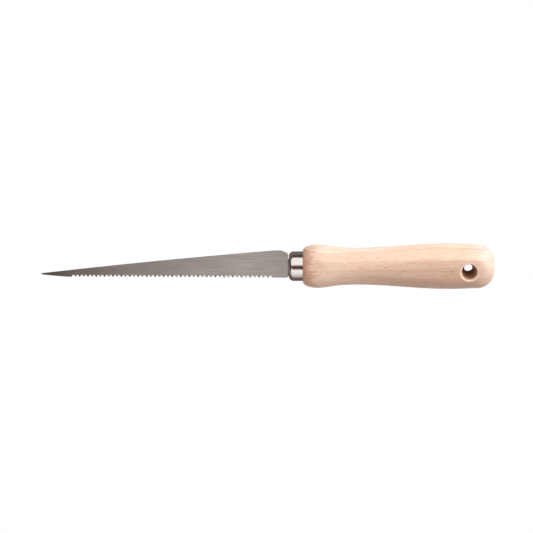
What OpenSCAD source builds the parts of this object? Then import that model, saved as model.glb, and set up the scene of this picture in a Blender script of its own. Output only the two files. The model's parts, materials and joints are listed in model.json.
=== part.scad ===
// Drywall saw: a toothed blade with a tang, a ferrule and a turned wooden handle.
// The saw lies on the two flats of its handle. +X runs from the blade's tip to the handle's
// butt, +Y from the teeth to the spine, and +Z up through the side of the blade.
// The origin is at the centre of the bottom of the whole saw's box.

/* [Blade] */
// Length of the blade from its tip to its heel
blade_len = 150; // [140:1:160]
// Thickness of the blade
blade_t = 1.2; // [0.8:0.1:2]
// Height of the spine above the handle's axis at the heel
spine_y = 9.7; // [9:0.1:10.5]
// Depth of the plain heel's lower edge below the handle's axis
heel_y = 7.05; // [6:0.05:7.5]
// Length of the plain lower edge between the heel and the first tooth
heel_plain = 9.4; // [5:0.1:15]
// Depth of the blade's tip below the handle's axis
tip_y = 4.8; // [4:0.05:5.5]
// Rise of the curved spine over the straight line from tip to heel
spine_bow = 0.6; // [0:0.1:1]
// Length of the plain pointed toe in front of the teeth
toe_plain = 18.5; // [12:0.5:25]

/* [Teeth] */
// Number of gullets between the toe and the heel
gullets = 47; // [30:1:60]
// Length of the first tooth at the toe, as a share of the last one at the heel
toe_pitch_share = 0.93; // [0.8:0.01:1]
// Depth of the gullets at the toe
toe_depth = 1.3; // [1:0.1:1.6]
// Depth of the gullets at the heel
heel_depth = 1.6; // [1.2:0.1:1.8]
// Place of a gullet's deepest point between its two teeth, from 0 at the toe side to 1
gullet_lean = 0.45; // [0.35:0.01:0.5]
// Radius of the bottom of a gullet
gullet_r = 0.45; // [0.2:0.05:0.5]

/* [Tang] */
// Length of the tang behind the heel
tang_len = 62; // [40:1:75]
// Width of the tang at the heel
tang_w = 9; // [7:0.1:10]
// Width of the tang where its point begins
tang_tip_w = 5; // [3:0.1:6]

/* [Ferrule] */
// Outer diameter of the ferrule
ferrule_d = 18; // [17:0.1:18.4]
// Length of the ferrule
ferrule_len = 8.6; // [7:0.1:12]
// Thickness of the ferrule's wall and front
ferrule_wall = 0.8; // [0.5:0.1:1.2]
// Radius of the ferrule's front corner
ferrule_corner = 3; // [1.5:0.1:3.5]
// Gap between the blade's heel and the ferrule's front
heel_gap = 0.4; // [0.2:0.1:1.5]

/* [Handle] */
// Length of the handle from its shoulder to its butt
handle_len = 116.1; // [105:0.1:130]
// Diameter of the swell behind the shoulder
front_d = 26.4; // [24.5:0.1:28]
// Diameter of the waist
waist_d = 22.4; // [20:0.1:23.5]
// Diameter of the swell towards the butt
rear_d = 27.6; // [26.5:0.1:30]
// Thickness of the board that the handle is turned from, which leaves the two flats
board_t = 24; // [23:0.1:24.4]

/* [Hang hole] */
// Diameter of the hang hole's mouths, inside their bevels
hole_d = 9.6; // [8:0.1:10.5]
// Diameter of the hang hole's neck, half way through the handle
hole_neck_d = 5; // [4:0.1:7.5]
// Length of the straight wall in the hang hole's neck
hole_neck_len = 2; // [1:0.5:6]
// Distance from the hang hole's centre to the butt
hole_from_butt = 15.6; // [15:0.1:20]
// Offset of the hang hole from the handle's axis, towards the teeth
hole_offset = 0.9; // [0:0.05:1]
// Depth and width of the bevel round each mouth of the hang hole
hole_bevel = 1; // [0.5:0.1:1.2]

/* [Hidden] */
$fn = 96;

// Places along X and the height of the handle's axis
tip_x = -(blade_len + heel_gap + ferrule_len + handle_len) / 2;
heel_x = tip_x + blade_len;
ferrule_x = heel_x + heel_gap;
shoulder_x = ferrule_x + ferrule_len;
axis_z = board_t / 2;

// Blade outline: the flat crest of the spine, and the corner that falls from it to the heel
crest_start = 8.4;
crest_len = 4.4;
heel_top_y = 8.25;
crest_fall = 66;
corner_r = 1;
tip_r = 0.3;
toe_bow = 0.2;
tooth_drop_toe = 6.55;
tooth_drop_heel = 7.4;
curve_steps = 16;
round_steps = 4;

// Handle profile: distances from the shoulder, and radii
shoulder_r = 9.3;
front_at = 9;
waist_at = 32;
rear_at = 89.5;
butt_r = 13.4;
butt_corner = 10.4;
waist_skew = 0.5;

// Space left round the tang where it passes through the ferrule's front
slot_gap = 0.2;
tang_point = 5;
cut = 1;

function mix(a, b, t) = a + (b - a) * t;
function half_wave(t) = (1 - cos(180 * t)) / 2;
function arc(centre, r, from, to, steps) =
    [for (i = [0 : steps]) let (a = mix(from, to, i / steps)) centre + r * [cos(a), sin(a)]];

// The pitch grows evenly from the toe to the heel, so a tooth's place is a quadratic in its number.
function tooth_share(i) =
    (toe_pitch_share * i + (1 - toe_pitch_share) * i * i / (2 * gullets))
    / (toe_pitch_share * gullets + (1 - toe_pitch_share) * gullets / 2);
teeth_start = tip_x + toe_plain;
teeth_end = heel_x - heel_plain;
function tooth_x(i) = mix(teeth_start, teeth_end, tooth_share(i));
function tooth_y(i) = -mix(tooth_drop_toe, tooth_drop_heel, i / gullets);

// One gullet: the tip before it, and then its round bottom. Its toe side is the steeper one.
function gullet(i) =
    let (
        start = [tooth_x(i), tooth_y(i)],
        pitch = tooth_x(i + 1) - tooth_x(i),
        depth = mix(toe_depth, heel_depth, i / gullets),
        centre = start + [gullet_lean * pitch, depth - gullet_r]
    )
    concat([start], arc(centre, gullet_r, 150, 30, round_steps));
function teeth() = [for (i = [0 : gullets - 1]) each gullet(i)];

function spine() =
    let (crest = heel_x - crest_start)
    [for (i = [curve_steps : -1 : 0]) let (t = i / curve_steps)
        [mix(tip_x + tip_r, crest, t), mix(tip_r - tip_y, spine_y, t) + 4 * spine_bow * t * (1 - t)]];

function toe() =
    [for (i = [1 : curve_steps - 1]) let (t = i / curve_steps)
        [mix(tip_x + tip_r, teeth_start, t),
         mix(-tip_y - tip_r / 2, -tooth_drop_toe, t) - 4 * toe_bow * t * (1 - t)]];

function tang() = [
    [heel_x, -tang_w / 2],
    [heel_x + tang_len - tang_point, -tang_tip_w / 2],
    [heel_x + tang_len, 0],
    [heel_x + tang_len - tang_point, tang_tip_w / 2],
    [heel_x, tang_w / 2]
];

// The blade's outline runs from the tip along the toe, the teeth and the heel, and back over the spine.
function blade_outline() = concat(
    [[tip_x, -tip_y]],
    toe(),
    teeth(),
    [[teeth_end, -heel_y]],
    arc([heel_x - corner_r, corner_r - heel_y], corner_r, -90, 0, round_steps),
    tang(),
    [[heel_x, heel_top_y - corner_r]],
    arc([heel_x - corner_r, heel_top_y - corner_r], corner_r, 0, crest_fall, round_steps),
    [[heel_x - crest_start + crest_len, spine_y]],
    spine()
);

// Half profiles of what is turned: [radius, distance along the axis]
function cup(r, corner, length) =
    concat([[0, 0]], arc([r - corner, corner], corner, -90, 0, 2 * round_steps), [[r, length]]);
function reversed(points) = [for (i = [len(points) - 1 : -1 : 0]) points[i]];
inner_r = ferrule_d / 2 - ferrule_wall;
inner_corner = ferrule_corner - ferrule_wall;
inner_len = ferrule_len - ferrule_wall;
function neck() = [for (p = cup(inner_r, inner_corner, inner_len)) p - [0, inner_len]];

// The front swell is a quarter of an ellipse, the waist and the rear swell are half waves, and the
// butt is a round corner that ends in a small flat.
function front_swell() =
    [for (i = [0 : curve_steps]) let (a = 90 * i / curve_steps)
        [mix(shoulder_r, front_d / 2, sin(a)), front_at * (1 - cos(a))]];
function swell(from_r, to_r, from, to, skew) =
    [for (i = [1 : curve_steps]) let (t = i / curve_steps)
        [mix(from_r, to_r, half_wave(t + skew * t * (1 - t))), mix(from, to, t)]];
butt_at = handle_len - butt_corner;
function handle_profile() = concat(
    neck(),
    front_swell(),
    swell(front_d / 2, waist_d / 2, front_at, waist_at, waist_skew),
    swell(waist_d / 2, rear_d / 2, waist_at, rear_at, 0),
    swell(rear_d / 2, butt_r, rear_at, butt_at, 0),
    arc([butt_r - butt_corner, butt_at], butt_corner, 5, 90, curve_steps),
    [[0, handle_len]]
);

module turned(profile, x) {
    translate([x, 0, axis_z]) rotate([0, 90, 0]) rotate_extrude() polygon(profile);
}

module plate(outline, thickness) {
    translate([0, 0, axis_z - thickness / 2]) linear_extrude(thickness) polygon(outline);
}

module blade() {
    color("#8F8784") plate(blade_outline(), blade_t);
}

module ferrule() {
    hollow = [for (p = cup(inner_r, inner_corner, inner_len)) p + [0, ferrule_wall]];
    slot_w = tang_w + 2 * slot_gap;
    slot_t = blade_t + 2 * slot_gap;
    color("#C9C8C6") difference() {
        turned(concat(cup(ferrule_d / 2, ferrule_corner, ferrule_len), reversed(hollow)), ferrule_x);
        translate([ferrule_x - cut, -slot_w / 2, axis_z - slot_t / 2])
            cube([cut + ferrule_wall + cut, slot_w, slot_t]);
    }
}

module hang_hole() {
    mouth_r = hole_d / 2;
    neck_r = hole_neck_d / 2;
    bevel_r = mouth_r + hole_bevel + cut;
    neck_low = (board_t - hole_neck_len) / 2;
    translate([shoulder_x + handle_len - hole_from_butt, -hole_offset, 0]) rotate_extrude() polygon([
        [0, -cut], [bevel_r, -cut], [mouth_r, hole_bevel], [neck_r, neck_low],
        [neck_r, neck_low + hole_neck_len], [mouth_r, board_t - hole_bevel],
        [bevel_r, board_t + cut], [0, board_t + cut]
    ]);
}

module handle() {
    width = rear_d + 2 * cut;
    length = inner_len + handle_len + 2 * cut;
    color("#E8C8A9") difference() {
        intersection() {
            turned(handle_profile(), shoulder_x);
            translate([shoulder_x - inner_len - cut, -width / 2, 0]) cube([length, width, board_t]);
        }
        hang_hole();
        plate(tang(), blade_t);
    }
}

blade();
ferrule();
handle();
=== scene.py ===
"""Looks of the drywall saw: the blade, the ferrule and the turned handle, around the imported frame."""
import json
import math

import bmesh
import bpy
from mathutils import Matrix, Vector


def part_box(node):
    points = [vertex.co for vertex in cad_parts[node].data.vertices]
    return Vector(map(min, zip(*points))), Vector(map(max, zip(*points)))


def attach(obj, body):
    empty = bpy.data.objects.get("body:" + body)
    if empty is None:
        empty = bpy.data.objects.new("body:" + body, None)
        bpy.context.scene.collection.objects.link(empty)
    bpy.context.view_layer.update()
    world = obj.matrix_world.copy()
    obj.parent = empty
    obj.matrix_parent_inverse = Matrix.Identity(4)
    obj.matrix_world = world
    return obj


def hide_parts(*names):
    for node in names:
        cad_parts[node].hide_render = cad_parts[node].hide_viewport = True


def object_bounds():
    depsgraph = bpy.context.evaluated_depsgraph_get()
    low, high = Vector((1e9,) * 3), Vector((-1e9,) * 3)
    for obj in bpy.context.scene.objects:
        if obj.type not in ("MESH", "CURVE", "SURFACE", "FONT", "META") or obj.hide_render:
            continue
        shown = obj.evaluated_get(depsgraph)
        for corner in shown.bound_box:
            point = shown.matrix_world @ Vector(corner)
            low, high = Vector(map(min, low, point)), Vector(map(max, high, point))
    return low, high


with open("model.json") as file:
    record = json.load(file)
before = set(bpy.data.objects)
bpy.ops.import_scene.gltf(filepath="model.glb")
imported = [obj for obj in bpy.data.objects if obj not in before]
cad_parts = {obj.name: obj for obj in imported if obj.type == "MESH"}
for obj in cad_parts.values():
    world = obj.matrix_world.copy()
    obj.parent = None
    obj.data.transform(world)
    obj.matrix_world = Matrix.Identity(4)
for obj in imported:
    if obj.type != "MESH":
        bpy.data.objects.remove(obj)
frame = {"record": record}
cad_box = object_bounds()

MM = 0.001

# ---------------------------------------------------------------- sizes from the frame
blade_lo, blade_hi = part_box("blade")
ferrule_lo, ferrule_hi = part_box("ferrule")
handle_lo, handle_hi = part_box("handle")
mounts = {m["name"]: m for m in frame["record"]["mounts"]}
hole = mounts["hang_hole"]

tip_x = blade_lo.x
tang_x = blade_hi.x
ferrule_x = ferrule_lo.x
shoulder_x = ferrule_hi.x
neck_x = handle_lo.x
butt_x = handle_hi.x
axis_z = (handle_lo.z + handle_hi.z) / 2
flat_z = (handle_hi.z - handle_lo.z) / 2
ferrule_r = (ferrule_hi.y - ferrule_lo.y) / 2
blade_half = (blade_hi.z - blade_lo.z) / 2
spine_y = blade_hi.y
rear_r = handle_hi.y
hole_x, hole_y = hole["pos_m"][:2]
hole_neck_r = hole["dims"]["r_mm"] * MM
hole_neck_half = hole["dims"]["length_mm"] * MM / 2

# ---------------------------------------------------------------- sizes of the finer shapes
# Blade
heel_gap = 0.4 * MM
heel_x = ferrule_x - heel_gap
heel_y = 7.05 * MM
heel_top_y = 8.25 * MM
heel_plain = 9.4 * MM
heel_corner = 1 * MM
crest_start = 8.4 * MM
crest_len = 4.4 * MM
crest_fall = 66
crest_round = 2 * MM
tip_y = 4.8 * MM
tip_r = 0.3 * MM
spine_bow = 0.6 * MM
toe_plain = 18.5 * MM
toe_bow = 0.2 * MM
tooth_drop_toe = 6.55 * MM
tooth_drop_heel = 7.4 * MM
gullets = 47
toe_pitch_share = 0.93
toe_depth = 1.3 * MM
heel_depth = 1.6 * MM
gullet_lean = 0.45
gullet_r = 0.45 * MM
gullet_steps = 8
tooth_set = 0.16 * MM
edge_width = 0.1 * MM
edge_drop = 0.07 * MM
tang_w = 9 * MM
tang_tip_w = 5 * MM
tang_point = 5 * MM

# Ferrule
ferrule_wall = 0.8 * MM
ferrule_corner = 3 * MM
slot_gap = 0.2 * MM
rim_round = 0.2 * MM

# Handle
shoulder_r = 9.3 * MM
front_r = 13.2 * MM
waist_r = 11.2 * MM
butt_r = 13.4 * MM
butt_corner = 10.4 * MM
front_at = shoulder_x + 9 * MM
waist_at = shoulder_x + 32 * MM
rear_at = shoulder_x + 89.5 * MM
butt_at = butt_x - butt_corner
waist_skew = 0.5
flat_blend = 1.2 * MM
hole_r = 4.8 * MM
hole_bevel = 1 * MM
around = 256

# Growth layers of the wood, nearly upright: the height of one over the axis, their distance, and
# how they draw together at the waist
layer_y = 5.5 * MM
layer_gap = 5.05 * MM
layer_squeeze = 0.13
squeeze_x = 50 * MM
squeeze_length = 120 * MM


def mix(a, b, t):
    return a + (b - a) * t


def half_wave(t):
    return (1 - math.cos(math.pi * t)) / 2


def arc(cx, cy, r, start, end, steps):
    """Points along an arc between two angles in degrees."""
    angles = [math.radians(mix(start, end, i / steps)) for i in range(steps + 1)]
    return [(cx + r * math.cos(a), cy + r * math.sin(a)) for a in angles]


# ---------------------------------------------------------------- node helpers
class Shader:
    """A material's node tree, with short calls for the nodes that the materials here use."""

    def __init__(self, name):
        self.material = bpy.data.materials.new(name)
        self.material.use_nodes = True
        self.tree = self.material.node_tree
        self.bsdf = self.tree.nodes["Principled BSDF"]

    def node(self, kind, **values):
        made = self.tree.nodes.new(kind)
        for key, value in values.items():
            setattr(made, key, value)
        return made

    def feed(self, target, value):
        """Sets a socket to a number or a colour, or links it to another node's output."""
        if isinstance(value, bpy.types.NodeSocket):
            self.tree.links.new(value, target)
        else:
            target.default_value = value

    def surface(self, name, value):
        self.feed(self.bsdf.inputs[name], value)

    def coords(self):
        return self.node("ShaderNodeTexCoord").outputs["Object"]

    def axes(self):
        """The object coordinates one by one."""
        made = self.node("ShaderNodeSeparateXYZ")
        self.feed(made.inputs["Vector"], self.coords())
        return made.outputs["X"], made.outputs["Y"], made.outputs["Z"]

    def place(self, size, offset=(0, 0, 0)):
        """Object coordinates in which a texture's features have the given size along each axis."""
        mapping = self.node("ShaderNodeMapping")
        self.feed(mapping.inputs["Vector"], self.coords())
        mapping.inputs["Scale"].default_value = [1 / s for s in size]
        mapping.inputs["Location"].default_value = offset
        return mapping.outputs["Vector"]

    def noise(self, vector, detail=3.0, roughness=0.5):
        made = self.node("ShaderNodeTexNoise")
        made.inputs["Scale"].default_value = 1.0
        made.inputs["Detail"].default_value = detail
        made.inputs["Roughness"].default_value = roughness
        self.feed(made.inputs["Vector"], vector)
        return made.outputs["Fac"]

    def dashes(self, size, share, offset=(0, 0, 0)):
        """Short marks, one in each cell of the given size, of which only a share shows."""
        made = self.node("ShaderNodeTexVoronoi")
        made.inputs["Scale"].default_value = 1.0
        made.inputs["Randomness"].default_value = 1.0
        self.feed(made.inputs["Vector"], self.place(size, offset))
        pick = self.node("ShaderNodeSeparateColor")
        self.feed(pick.inputs["Color"], made.outputs["Color"])
        shown = self.span(pick.outputs["Red"], 1 - share, 1.05 - share)
        return self.times(self.span(made.outputs["Distance"], 0.24, 0.08), shown)

    def math(self, operation, a, b=0.0, c=0.0):
        made = self.node("ShaderNodeMath", operation=operation)
        for socket, value in zip(made.inputs, (a, b, c)):
            self.feed(socket, value)
        return made.outputs[0]

    def times(self, *values):
        """The product of two or more values."""
        product = values[0]
        for value in values[1:]:
            product = self.math("MULTIPLY", product, value)
        return product

    def span(self, value, low, high, to_low=0.0, to_high=1.0):
        """Maps a range of a value to another range, with soft ends."""
        made = self.node("ShaderNodeMapRange", interpolation_type="SMOOTHSTEP")
        for socket, number in zip(made.inputs, (value, low, high, to_low, to_high)):
            self.feed(socket, number)
        return made.outputs["Result"]

    def blend(self, factor, first, second, kind="MIX"):
        """Mixes a second colour over a first one, or multiplies the first one by it."""
        made = self.node("ShaderNodeMix", data_type="RGBA", blend_type=kind)
        for socket, value in ((0, factor), (6, first), (7, second)):
            self.feed(made.inputs[socket], value)
        return made.outputs[2]

    def bump(self, height, distance, strength=1.0, normal=None):
        made = self.node("ShaderNodeBump")
        made.inputs["Strength"].default_value = strength
        made.inputs["Distance"].default_value = distance
        self.feed(made.inputs["Height"], height)
        if normal is not None:
            self.feed(made.inputs["Normal"], normal)
        return made.outputs["Normal"]


# ---------------------------------------------------------------- materials
def steel_material():
    """Ground sheet steel: fine marks along the blade, a painted reflection that darkens it towards its toe,
    a painted shadow of the ferrule just before its heel, and painted shade that turns the tang nearly black."""
    s = Shader("saw_steel")
    x, _, _ = s.axes()
    fine = s.noise(s.place((14 * MM, 0.16 * MM, 0.16 * MM)), 2)
    grain = s.noise(s.place((5 * MM, 0.4 * MM, 0.4 * MM), (1, 5, 0)), 2)
    marks = s.noise(s.place((26 * MM, 0.55 * MM, 0.55 * MM), (3, 1, 0)), 3, 0.6)
    smudge = s.noise(s.place((25 * MM, 8 * MM, 8 * MM)), 3)
    tone = s.math("ADD", s.times(marks, 0.7), s.times(smudge, 0.3))
    base = s.blend(s.span(tone, 0.3, 0.7), (0.40, 0.37, 0.36, 1), (0.55, 0.52, 0.51, 1))
    base = s.blend(s.span(grain, 0.35, 0.65, 0.0, 0.3), base, (0.34, 0.31, 0.30, 1))
    share = s.math("MULTIPLY_ADD", x, 1 / (heel_x - tip_x), -tip_x / (heel_x - tip_x))
    # Painted reflection: the steel darkens towards the toe.
    toe = s.math("MINIMUM", s.times(s.math("POWER", share, 0.6), 1.13), 1.0)
    # Painted shadow of the ferrule and handle on the blade just before the heel.
    heel = s.span(x, heel_x - 12 * MM, heel_x - 2 * MM, 1.0, 0.92)
    # Painted shade: the tang behind the heel goes nearly black, for the dark gap between the heel and the
    # ferrule.
    tang = s.span(x, heel_x, heel_x + 0.1 * MM, 1.0, 0.2)
    # The painted reflection, shadow and shade pull the steel towards this near black.
    s.surface("Base Color", s.blend(s.times(toe, heel, tang), (0.04, 0.025, 0.018, 1), base))
    s.surface("Metallic", 1.0)
    s.surface("Roughness", s.span(marks, 0.25, 0.75, 0.36, 0.28))
    s.surface("Anisotropic", 0.7)
    s.surface("Tangent", s.node("ShaderNodeTangent", direction_type="RADIAL", axis="X").outputs["Tangent"])
    normal = s.bump(fine, 0.02 * MM, 0.3)
    s.surface("Normal", s.bump(marks, 0.03 * MM, 0.2, normal))
    return s.material


def nickel_material():
    """Bright plate over drawn steel: nearly a mirror, with faint turning marks and smudges."""
    s = Shader("nickel_plate")
    rings = s.noise(s.place((0.2 * MM, 16 * MM, 16 * MM)), 2)
    smudge = s.noise(s.place((3.5 * MM, 3.5 * MM, 3.5 * MM)), 3)
    s.surface("Base Color", s.blend(smudge, (0.62, 0.60, 0.58, 1), (0.72, 0.70, 0.68, 1)))
    s.surface("Metallic", 1.0)
    s.surface("Roughness", s.span(smudge, 0.3, 0.7, 0.12, 0.2))
    s.surface("Normal", s.bump(rings, 0.01 * MM, 0.15))
    return s.material


def growth_layers(s, x, y, z):
    """Growth layers that cut the upper side in long lines. Each darkens slowly to its outside and
    then stops. Returns that darkness and where its thin dark line is."""
    turn = s.math("MULTIPLY_ADD", x, 2 * math.pi / squeeze_length, -2 * math.pi * squeeze_x / squeeze_length)
    squeeze = s.math("MULTIPLY_ADD", s.math("COSINE", turn), -layer_squeeze, 1.0)
    lean = s.math("MULTIPLY_ADD", z, 0.12, -0.12 * (axis_z + flat_z))
    across = s.math("ADD", s.math("DIVIDE", y, squeeze), lean)
    wander = s.noise(s.place((22 * MM, 9 * MM, 9 * MM)), 2)
    across = s.math("ADD", across, s.math("MULTIPLY_ADD", wander, 1.6 * MM, -0.8 * MM))
    part = s.math("FRACT", s.math("MULTIPLY_ADD", across, 1 / layer_gap, 8 - layer_y / layer_gap))
    late = s.times(s.span(part, 0.3, 0.95), s.span(part, 1.0, 0.97))
    line = s.times(s.span(part, 0.86, 0.95), s.span(part, 1.0, 0.96))
    return late, line


def hole_reach(s, x, y):
    """Distance from the hang hole's axis."""
    off_x, off_y = s.math("SUBTRACT", x, hole_x), s.math("SUBTRACT", y, hole_y)
    return s.math("SQRT", s.math("ADD", s.times(off_x, off_x), s.times(off_y, off_y)))


def beech_tones(s, x, y):
    """The wood's slow changes of colour and its painted light: darker and redder low on the back half,
    which is painted shade with a redder wood tone; painted highlights along the top of the front half
    and at the butt; and dark with a ragged edge where the shoulder shows end grain, with painted shade
    next to the ferrule."""
    patch = s.noise(s.place((45 * MM, 11 * MM, 11 * MM), (5, 0, 0)), 2)
    blotch = s.noise(s.place((7 * MM, 2.2 * MM, 2.2 * MM), (2, 6, 1)), 3)
    ragged_x = s.math("ADD", x, s.math("MULTIPLY_ADD", blotch, -16 * MM, 8 * MM))
    # Painted shade on the lower side of the back half, together with a redder wood tone.
    low = s.times(s.span(y, 9 * MM, -5 * MM), s.span(y, -12.5 * MM, -8 * MM, 0.5, 1.0),
                  s.span(x, 25 * MM, 105 * MM), s.span(x, 139 * MM, 122 * MM, 0.0, 0.8))
    # Painted highlight: paler along the top of the front half.
    top = s.times(s.span(y, 8 * MM, 10.5 * MM), s.span(x, 80 * MM, 50 * MM, 0.0, 0.55))
    # Painted highlight: paler at the butt, most on its upper side.
    butt = s.times(s.span(x, 120 * MM, 136 * MM, 0.0, 0.45), s.span(y, -8 * MM, 6 * MM, 0.3, 1.0))
    # End grain with painted shade: darker towards the shoulder next to the ferrule, with a ragged edge.
    end_grain_and_shade = s.span(ragged_x, shoulder_x + 10 * MM, shoulder_x + 1 * MM, 0.0, 0.85)
    base = s.blend(s.span(patch, 0.3, 0.7), (0.70, 0.52, 0.405, 1), (0.735, 0.56, 0.44, 1))
    base = s.blend(low, base, (0.455, 0.30, 0.215, 1))
    base = s.blend(top, base, (0.74, 0.65, 0.545, 1))
    base = s.blend(butt, base, (0.92, 0.73, 0.69, 1))
    return s.blend(end_grain_and_shade, base, (0.50, 0.275, 0.185, 1))


def beech_material():
    """Raw sanded beech. Its figure darkens its slow tones, the hang hole's lip carries a painted highlight,
    and the hole's wall is dark, partly the drilled wood's own tone and partly painted shade."""
    s = Shader("beech")
    x, y, z = s.axes()
    late, line = growth_layers(s, x, y, z)
    fibre = s.noise(s.place((5 * MM, 0.75 * MM, 0.75 * MM)), 3, 0.7)
    streak = s.noise(s.place((30 * MM, 1.6 * MM, 1.6 * MM), (0, 4, 2)), 3, 0.6)
    flecks = s.dashes((8 * MM, 1.4 * MM, 1.4 * MM), 0.14)
    pores = s.dashes((3 * MM, 1 * MM, 1 * MM), 0.45, (7, 3, 1))
    base = beech_tones(s, x, y)
    for share, shade in (
        (s.times(late, 0.16), (0.87, 0.68, 0.61, 1)),
        (s.times(line, 0.35), (0.82, 0.61, 0.55, 1)),
        (s.span(streak, 0.5, 0.72, 0.0, 0.35), (0.87, 0.73, 0.68, 1)),
        (s.span(fibre, 0.42, 0.72, 0.0, 0.75), (0.84, 0.71, 0.66, 1)),
        (s.times(pores, 0.4), (0.50, 0.38, 0.32, 1)),
        (s.times(flecks, 0.55), (0.50, 0.31, 0.25, 1)),
    ):
        base = s.blend(share, base, shade, "MULTIPLY")
    reach = hole_reach(s, x, y)
    # Painted highlight: a lighter ring on the hang hole's lip.
    lip = s.times(s.span(reach, hole_r + 1.2 * MM, hole_r + 0.9 * MM, 0.0, 0.7),
                  s.span(reach, hole_r - 0.1 * MM, hole_r + 0.2 * MM))
    # The drilled wood's own darker tone with painted shade: the hole's wall goes dark brown.
    wall = s.span(reach, hole_r, hole_r - 0.5 * MM)
    base = s.blend(lip, base, (0.86, 0.66, 0.52, 1))
    s.surface("Base Color", s.blend(wall, base, (0.34, 0.165, 0.08, 1)))
    s.surface("Roughness", s.span(fibre, 0.2, 0.8, 0.46, 0.58))
    s.surface("Specular IOR Level", 0.5)
    s.surface("Sheen Weight", 0.2)
    s.surface("Sheen Roughness", 0.5)
    normal = s.bump(fibre, 0.03 * MM, 0.3)
    s.surface("Normal", s.bump(pores, -0.03 * MM, 0.3, normal))
    return s.material


# ---------------------------------------------------------------- mesh helpers
def finish_piece(name, mesh, material, node, sharp_deg=40):
    """Turns a bmesh into a piece that stands for one CAD node."""
    bmesh.ops.recalc_face_normals(mesh, faces=mesh.faces)
    data = bpy.data.meshes.new(name)
    mesh.to_mesh(data)
    mesh.free()
    data.materials.append(material)
    piece = bpy.data.objects.new(name, data)
    bpy.context.scene.collection.objects.link(piece)
    data.shade_smooth()
    data.set_sharp_from_angle(angle=math.radians(sharp_deg))
    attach(piece, "root")
    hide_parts(node)
    return piece


def bridge(mesh, first, second):
    """Quads between two closed loops of the same number of vertices."""
    count = len(first)
    for i in range(count):
        j = (i + 1) % count
        mesh.faces.new((first[i], first[j], second[j], second[i]))


def loop_edges(mesh, loop):
    """The edges of a closed loop, made where they are missing."""
    edges = []
    for i, vert in enumerate(loop):
        other = loop[(i + 1) % len(loop)]
        edges.append(mesh.edges.get((vert, other)) or mesh.edges.new((vert, other)))
    return edges


def fill_between(mesh, outer, inner):
    """Triangles between a flat outline and a slot inside it."""
    edges = loop_edges(mesh, outer) + loop_edges(mesh, inner)
    bmesh.ops.triangle_fill(mesh, use_beauty=True, use_dissolve=False, edges=edges)


# ---------------------------------------------------------------- blade
def tooth_share(i):
    """How far along the row of teeth a tooth's point is, with a pitch that grows evenly to the heel."""
    grown = (1 - toe_pitch_share) / (2 * gullets)
    whole = toe_pitch_share * gullets + grown * gullets * gullets
    return (toe_pitch_share * i + grown * i * i) / whole


def tooth_tip(i):
    """The point of a tooth, counted from the toe. The last one is where the plain heel starts."""
    start, end = tip_x + toe_plain, heel_x - heel_plain
    return mix(start, end, tooth_share(i)), -mix(tooth_drop_toe, tooth_drop_heel, i / gullets)


def toe_points():
    """The lower edge from the blade's tip to the first gullet."""
    points = [(tip_x, -tip_y)]
    steps = 24
    for i in range(1, steps):
        t = i / steps
        x = mix(tip_x + tip_r, tip_x + toe_plain, t)
        points.append((x, mix(-tip_y - tip_r / 2, -tooth_drop_toe, t) - 4 * toe_bow * t * (1 - t)))
    return points


def gullet_points(i):
    """One gullet's round bottom, from its toe side to its heel side."""
    x, y = tooth_tip(i)
    pitch = tooth_tip(i + 1)[0] - x
    depth = mix(toe_depth, heel_depth, i / gullets)
    return arc(x + gullet_lean * pitch, y + depth - gullet_r, gullet_r, 150, 30, gullet_steps)


def heel_points():
    """The heel, the tang behind it, the corner over the heel and the spine back to the tip."""
    corner_x = heel_x - heel_corner
    crest_x = heel_x - crest_start
    points = [(heel_x - heel_plain, -heel_y)]
    points += arc(corner_x, heel_corner - heel_y, heel_corner, -90, 0, 8)
    points += [(heel_x, -tang_w / 2), (tang_x - tang_point, -tang_tip_w / 2), (tang_x, 0)]
    points += [(tang_x - tang_point, tang_tip_w / 2), (heel_x, tang_w / 2)]
    points += arc(corner_x, heel_top_y - heel_corner, heel_corner, 0, crest_fall, 6)
    ease = crest_round * math.tan(math.radians(90 - crest_fall) / 2)
    points += arc(crest_x + crest_len - ease, spine_y - crest_round, crest_round, crest_fall, 90, 4)
    steps = 40
    for i in range(steps, -1, -1):
        t = i / steps
        points.append((mix(tip_x + tip_r, crest_x, t),
                       mix(tip_r - tip_y, spine_y, t) + 4 * spine_bow * t * (1 - t)))
    return points


def set_in(points, width):
    """A closed outline moved inwards by a width, with at most twice that at a sharp corner."""
    moved = []
    for i, here in enumerate(points):
        before = Vector(here) - Vector(points[i - 1])
        after = Vector(points[(i + 1) % len(points)]) - Vector(here)
        side = (before.normalized() + after.normalized()).normalized()
        inward = Vector((-side.y, side.x))
        lean = max(0.5, inward.dot(Vector((-after.y, after.x)).normalized()))
        moved.append(Vector(here) + inward * width / lean)
    return moved


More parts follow.
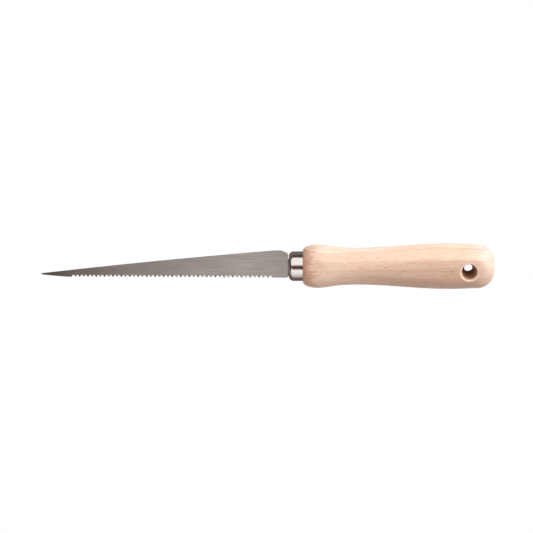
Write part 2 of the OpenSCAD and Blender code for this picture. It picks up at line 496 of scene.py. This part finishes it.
def make_blade(material):
    """A flat plate with eased edges. Its teeth bend to each side in turn, about the line between
    the gullets at their two sides."""
    outline = toe_points()
    tops = []
    tooth_of = [None] * len(outline)
    for i in range(gullets):
        outline.append(tooth_tip(i))
        tooth_of.append(i if i else None)
        half = gullet_steps // 2
        for k, point in enumerate(gullet_points(i)):
            if k == half:
                tops.append(len(outline))
            tooth = i if k < half else i + 1
            tooth_of.append(tooth if k != half and 0 < tooth < gullets else None)
            outline.append(point)
    rest = heel_points()
    outline += rest
    tooth_of += [None] * len(rest)

    def bend(tooth, x, y):
        """How far a point of a tooth is bent out of the blade's plane."""
        if tooth is None:
            return 0.0
        left, right = outline[tops[tooth - 1]], outline[tops[tooth]]
        root = mix(left[1], right[1], (x - left[0]) / (right[0] - left[0]))
        full = root - tooth_tip(tooth)[1]
        return (-1) ** tooth * tooth_set * (root - y) / full

    mesh = bmesh.new()
    inner = set_in(outline, edge_width)
    walls = []
    for side in (1, -1):
        outer_loop = []
        inner_loop = []
        for (x, y), (ix, iy), tooth in zip(outline, inner, tooth_of):
            z = axis_z + side * (blade_half - edge_drop)
            outer_loop.append(mesh.verts.new((x, y, z + bend(tooth, x, y))))
            inner_loop.append(mesh.verts.new((ix, iy, axis_z + side * blade_half + bend(tooth, ix, iy))))
        bridge(mesh, outer_loop, inner_loop)
        mesh.faces.new(inner_loop[:tops[0]] + [inner_loop[k] for k in tops] + inner_loop[tops[-1] + 1:])
        for a, b in zip(tops, tops[1:]):
            mesh.faces.new(inner_loop[a:b + 1])
        walls.append(outer_loop)
    bridge(mesh, *walls)
    flat_faces = [face for face in mesh.faces if len(face.verts) > 4]
    bmesh.ops.triangulate(mesh, faces=flat_faces, ngon_method="BEAUTY")
    return finish_piece("saw_blade", mesh, material, "blade", 20)


# ---------------------------------------------------------------- ferrule
def cup_profile(r, corner, start, end, steps):
    """The turned outline of a cup along the axis, as (x, radius), from its front to its mouth."""
    turned = arc(r - corner, start + corner, corner, -90, 0, steps)
    return [(x, radius) for radius, x in turned] + [(end, r)]


def ring(mesh, x, radius):
    """A ring of vertices round the axis."""
    verts = []
    for i in range(around):
        angle = 2 * math.pi * i / around
        verts.append(mesh.verts.new((x, radius * math.cos(angle), axis_z + radius * math.sin(angle))))
    return verts


def slot_loop(mesh, x, half_width, half_height):
    """The four corners of the tang's slot at one place along the axis."""
    corners = ((-1, -1), (1, -1), (1, 1), (-1, 1))
    return [mesh.verts.new((x, half_width * sy, axis_z + half_height * sz)) for sy, sz in corners]


def make_ferrule(material):
    """A drawn cup with a slot for the tang in its front and a rounded mouth."""
    mesh = bmesh.new()
    inner_r = ferrule_r - ferrule_wall
    outer = cup_profile(ferrule_r, ferrule_corner, ferrule_x, shoulder_x - rim_round, 16)
    mouth = arc(ferrule_r - rim_round, shoulder_x - rim_round, rim_round, 20, 90, 5)
    outer += [(x, r) for r, x in mouth]
    inner = cup_profile(inner_r, ferrule_corner - ferrule_wall, ferrule_x + ferrule_wall, shoulder_x, 12)
    rings = [ring(mesh, x, r) for x, r in outer + inner[::-1]]
    for first, second in zip(rings, rings[1:]):
        bridge(mesh, first, second)
    half_width = tang_w / 2 + slot_gap
    front = slot_loop(mesh, ferrule_x, half_width, blade_half + slot_gap)
    back = slot_loop(mesh, ferrule_x + ferrule_wall, half_width, blade_half + slot_gap)
    bridge(mesh, front, back)
    fill_between(mesh, rings[0], front)
    fill_between(mesh, rings[-1], back)
    return finish_piece("ferrule_cup", mesh, material, "ferrule", 50)


# ---------------------------------------------------------------- handle
def handle_radius(x):
    """The turned radius at a place along the handle."""
    if x < front_at:
        along = (front_at - x) / (front_at - shoulder_x)
        return mix(shoulder_r, front_r, math.sqrt(max(0.0, 1 - along * along)))
    if x < waist_at:
        t = (x - front_at) / (waist_at - front_at)
        return mix(front_r, waist_r, half_wave(t + waist_skew * t * (1 - t)))
    if x < rear_at:
        return mix(waist_r, rear_r, half_wave((x - waist_at) / (rear_at - waist_at)))
    if x < butt_at:
        return mix(rear_r, butt_r, half_wave((x - rear_at) / (butt_at - rear_at)))
    along = min(x - butt_at, butt_corner)
    return butt_r - butt_corner + math.sqrt(butt_corner * butt_corner - along * along)


def level_off(height):
    """Holds a height at the flat, with a sanded edge where the turned surface meets it."""
    gap = flat_z - height
    soft = max(flat_blend - abs(gap), 0.0) / flat_blend
    return min(height, flat_z) - soft * soft * flat_blend / 4


def surface_height(x, y):
    """Height of the handle's upper surface over its axis."""
    r = handle_radius(x)
    return level_off(math.sqrt(max(r * r - y * y, 0.0)))


def handle_stations():
    """Places along the handle from the shoulder to the butt, closer together where it curves."""
    front = [front_at - (front_at - shoulder_x) * math.cos(math.radians(a)) for a in range(0, 90, 4)]
    count = round((butt_at - front_at) / (0.75 * MM))
    middle = [mix(front_at, butt_at, i / count) for i in range(count)]
    butt = [butt_at + butt_corner * math.sin(math.radians(a)) for a in range(0, 91, 3)]
    return front + middle + butt


def hole_ring(radius, drop, angles):
    """Points round the hang hole, at a depth under the handle's upper surface."""
    points = []
    for angle in angles:
        x, y = hole_x + radius * math.cos(angle), hole_y + radius * math.sin(angle)
        points.append((x, y, surface_height(x, y) - drop))
    return points


def make_body_rows(mesh, stations):
    """Rings of vertices round the handle, drawn in to its flats."""
    rows = []
    for x in stations:
        r = handle_radius(x)
        row = []
        for i in range(around):
            angle = 2 * math.pi * i / around
            y, z = r * math.cos(angle), r * math.sin(angle)
            row.append(mesh.verts.new((x, y, axis_z + math.copysign(level_off(abs(z)), z))))
        rows.append(row)
    return rows


def make_mouth(mesh, border, side):
    """Rings from the edge of the hole's patch to the mouth and round its lip. Returns the last one."""
    angles = [math.atan2(v.co.y - hole_y, v.co.x - hole_x) for v in border]
    lip_r = hole_r + hole_bevel
    lip = hole_ring(lip_r, 0.0, angles)
    loops = [border]
    steps = 8
    for k in range(1, steps + 1):
        loop = []
        for vert, (lip_x, lip_y, _) in zip(border, lip):
            x, y = mix(vert.co.x, lip_x, k / steps), mix(vert.co.y, lip_y, k / steps)
            loop.append(mesh.verts.new((x, y, axis_z + side * surface_height(x, y))))
        loops.append(loop)
    for degrees in range(15, 91, 15):
        turn = math.radians(degrees)
        points = hole_ring(lip_r - hole_bevel * math.sin(turn), hole_bevel * (1 - math.cos(turn)), angles)
        loops.append([mesh.verts.new((x, y, axis_z + side * z)) for x, y, z in points])
    for one, two in zip(loops, loops[1:]):
        bridge(mesh, one, two)
    return loops[-1]


def bore_rings(mesh, angles, mouth_z):
    """Rings of the hang hole's wall, which narrows from both mouths to a short straight neck."""
    loops = []
    for t in (0.25, 0.5, 0.75, 1.0, -1.0, -0.75, -0.5, -0.25):
        radius = mix(hole_r, hole_neck_r, abs(t))
        z = axis_z + math.copysign(mix(mouth_z, hole_neck_half, abs(t)), t)
        verts = [(hole_x + radius * math.cos(a), hole_y + radius * math.sin(a), z) for a in angles]
        loops.append([mesh.verts.new(co) for co in verts])
    return loops


def make_neck(mesh, shoulder_ring):
    """The neck inside the ferrule, and the slot that the tang is driven into."""
    neck = cup_profile(ferrule_r - ferrule_wall, ferrule_corner - ferrule_wall, neck_x, shoulder_x, 8)
    rings = [ring(mesh, x, r) for x, r in neck] + [shoulder_ring]
    for one, two in zip(rings, rings[1:]):
        bridge(mesh, one, two)
    point_x = tang_x - tang_point
    neck_share = (neck_x - heel_x) / (point_x - heel_x)
    mouth = slot_loop(mesh, neck_x, mix(tang_w, tang_tip_w, neck_share) / 2, blade_half)
    deep = slot_loop(mesh, point_x, tang_tip_w / 2, blade_half)
    fill_between(mesh, rings[0], mouth)
    bridge(mesh, mouth, deep)
    low, high = [mesh.verts.new((tang_x, 0, axis_z + s * blade_half)) for s in (-1, 1)]
    mesh.faces.new((deep[0], deep[1], low))
    mesh.faces.new((deep[2], deep[3], high))
    mesh.faces.new((deep[1], deep[2], high, low))
    mesh.faces.new((deep[3], deep[0], low, high))


def make_handle(material):
    """The turned handle with its flats, its neck and its hang hole."""
    mesh = bmesh.new()
    stations = handle_stations()
    rows = make_body_rows(mesh, stations)

    # The patch that the hole's own rings replace, as ranges of stations and of places round the handle
    reach = hole_r + hole_bevel + 1.2 * MM
    first = max(i for i, x in enumerate(stations) if x < hole_x - reach)
    last = min(i for i, x in enumerate(stations) if x > hole_x + reach)
    quarter = around // 4
    half_patch = math.ceil(math.asin((reach + abs(hole_y)) / butt_r) * around / (2 * math.pi))
    low, high = quarter - half_patch, quarter + half_patch
    for i in range(len(rows) - 1):
        for j in range(around):
            in_patch = low <= j < high or low <= around - 1 - j < high
            if first <= i < last and in_patch:
                continue
            k = (j + 1) % around
            mesh.faces.new((rows[i][j], rows[i][k], rows[i + 1][k], rows[i + 1][j]))
    centre = mesh.verts.new((stations[-1], 0, axis_z))
    for j in range(around):
        mesh.faces.new((rows[-1][j], rows[-1][(j + 1) % around], centre))

    edge = [(i, low) for i in range(first, last)] + [(last, j) for j in range(low, high)]
    edge += [(i, high) for i in range(last, first, -1)] + [(first, j) for j in range(high, low, -1)]
    upper = make_mouth(mesh, [rows[i][j] for i, j in edge], 1)
    lower = make_mouth(mesh, [rows[i][around - j] for i, j in edge], -1)
    angles = [math.atan2(v.co.y - hole_y, v.co.x - hole_x) for v in upper]
    bore = [upper] + bore_rings(mesh, angles, flat_z - hole_bevel) + [lower]
    for one, two in zip(bore, bore[1:]):
        bridge(mesh, one, two)
    make_neck(mesh, rows[0])
    return finish_piece("handle_body", mesh, material, "handle", 50)


# ---------------------------------------------------------------- stage, light and camera
def stage_piece(name, mesh, material):
    """Turns a bmesh into a part of the stage that mirrors don't show."""
    data = bpy.data.meshes.new(name)
    mesh.to_mesh(data)
    mesh.free()
    data.materials.append(material)
    piece = bpy.data.objects.new(name, data)
    piece.visible_glossy = False
    bpy.context.scene.collection.objects.link(piece)
    return piece


def floor_grid(size):
    """A square at the height of the saw's underside."""
    mesh = bmesh.new()
    place = Matrix.Translation((0, 0, cad_box[0].z))
    bmesh.ops.create_grid(mesh, x_segments=2, y_segments=2, size=size, matrix=place)
    return mesh


def make_stage():
    """A white floor and backdrop that only the camera sees, and a matt floor in the same place that
    shades and lights the saw."""
    white = Shader("stage_white")
    white.surface("Base Color", (0, 0, 0, 1))
    white.surface("Specular IOR Level", 0.0)
    white.surface("Emission Color", (1, 1, 1, 1))
    white.surface("Emission Strength", 1.0)
    dome = bmesh.new()
    bmesh.ops.create_uvsphere(dome, u_segments=48, v_segments=24, radius=4.5)
    for name, mesh in (("floor", floor_grid(4.0)), ("backdrop", dome)):
        piece = stage_piece(name, mesh, white.material)
        piece.visible_diffuse = False
        piece.visible_shadow = False
    matt = Shader("floor_matt")
    matt.surface("Base Color", (0.9, 0.9, 0.9, 1))
    matt.surface("Roughness", 1.0)
    matt.surface("Specular IOR Level", 0.0)
    lit = stage_piece("floor_bounce", floor_grid(2.0), matt.material)
    lit.visible_camera = False


def soft_edges(light, left, right, low, high):
    """Fades a rectangular light's face towards its four edges, over these shares of its size."""
    light.use_nodes = True
    tree = light.node_tree
    place = tree.nodes.new("ShaderNodeNewGeometry")
    axes = tree.nodes.new("ShaderNodeSeparateXYZ")
    tree.links.new(place.outputs["Parametric"], axes.inputs["Vector"])
    strength = None
    for axis, start, end in (("X", 0.0, left), ("X", 1.0, 1 - right), ("Y", 0.0, low), ("Y", 1.0, 1 - high)):
        fade = tree.nodes.new("ShaderNodeMapRange")
        fade.interpolation_type = "SMOOTHSTEP"
        tree.links.new(axes.outputs[axis], fade.inputs["Value"])
        fade.inputs["From Min"].default_value = start
        fade.inputs["From Max"].default_value = end
        if strength is None:
            strength = fade.outputs["Result"]
            continue
        product = tree.nodes.new("ShaderNodeMath")
        product.operation = "MULTIPLY"
        tree.links.new(strength, product.inputs[0])
        tree.links.new(fade.outputs["Result"], product.inputs[1])
        strength = product.outputs[0]
    tree.links.new(strength, tree.nodes["Emission"].inputs["Strength"])


def soft_box(name, azimuth, height, distance, width, depth, shift_x, strength, edges, mirrored=True):
    """A rectangular light that faces the saw, from an azimuth (0 is +X and 90 is +Y) and a height in
    degrees. Its strength is the brightness of its face."""
    data = bpy.data.lights.new(name, "AREA")
    data.shape = "RECTANGLE"
    data.size, data.size_y = width, depth
    data.energy = strength * math.pi * width * depth
    soft_edges(data, *edges)
    light = bpy.data.objects.new(name, data)
    turn, lift = math.radians(azimuth), math.radians(height)
    away = Vector((math.cos(lift) * math.cos(turn), math.cos(lift) * math.sin(turn), math.sin(lift)))
    light.location = Vector((shift_x, 0, axis_z)) + away * distance
    light.rotation_mode = "QUATERNION"
    light.rotation_quaternion = away.to_track_quat("Z", "Y")
    light.visible_camera = False
    light.visible_glossy = mirrored
    bpy.context.scene.collection.objects.link(light)


def make_world():
    """A dark brown studio with a greyer ground, in which only the soft boxes are bright."""
    world = bpy.data.worlds.new("studio")
    world.use_nodes = True
    tree = world.node_tree
    axes = tree.nodes.new("ShaderNodeSeparateXYZ")
    tree.links.new(tree.nodes.new("ShaderNodeTexCoord").outputs["Generated"], axes.inputs["Vector"])
    depth = tree.nodes.new("ShaderNodeMapRange")
    tree.links.new(axes.outputs["Z"], depth.inputs["Value"])
    depth.inputs["From Min"].default_value = -0.32
    depth.inputs["From Max"].default_value = -0.48
    shade = tree.nodes.new("ShaderNodeMix")
    shade.data_type = "RGBA"
    tree.links.new(depth.outputs["Result"], shade.inputs["Factor"])
    shade.inputs[6].default_value = (0.11, 0.055, 0.03, 1)
    shade.inputs[7].default_value = (0.22, 0.19, 0.175, 1)
    background = tree.nodes["Background"]
    tree.links.new(shade.outputs[2], background.inputs["Color"])
    bpy.context.scene.world = world


def make_camera():
    """The camera looks down on the saw's side, tilted a little towards the spine's side, with the
    spine at the top of the picture."""
    tilt = math.radians(14.5)
    distance = 1.75
    view_width = 0.3237
    data = bpy.data.cameras.new("camera")
    data.sensor_width = 36.0
    data.lens = data.sensor_width * distance / view_width
    camera = bpy.data.objects.new("camera", data)
    away = Vector((0, math.sin(tilt), math.cos(tilt)))
    up = Vector((0, math.cos(tilt), -math.sin(tilt)))
    right = up.cross(away)
    aim = Vector((0, 0, axis_z)) - right * 0.6 * MM - up * 0.2 * MM
    camera.location = aim + away * distance
    camera.rotation_mode = "QUATERNION"
    camera.rotation_quaternion = Matrix((right, up, away)).transposed().to_quaternion()
    bpy.context.scene.collection.objects.link(camera)
    bpy.context.scene.camera = camera


make_blade(steel_material())
make_ferrule(nickel_material())
make_handle(beech_material())
make_stage()
make_world()
soft_box("back_light", 90, 39.5, 0.7, 2.2, 1.05, -0.23, 1.22, (0.08, 0.1, 0.12, 0.22))
soft_box("front_light", -90, 33.6, 0.7, 2.2, 1.5, -0.23, 1.17, (0.08, 0.1, 0.76, 0.075))
soft_box("key_light", 40, 22, 1.0, 0.8, 0.65, 0.0, 8.6, (0.2, 0.2, 0.2, 0.2), False)
soft_box("fill_light", -50, 15, 1.0, 0.8, 0.5, 0.0, 0.8, (0.2, 0.2, 0.2, 0.2), False)
make_camera()
bpy.context.scene.view_settings.view_transform = "Standard"
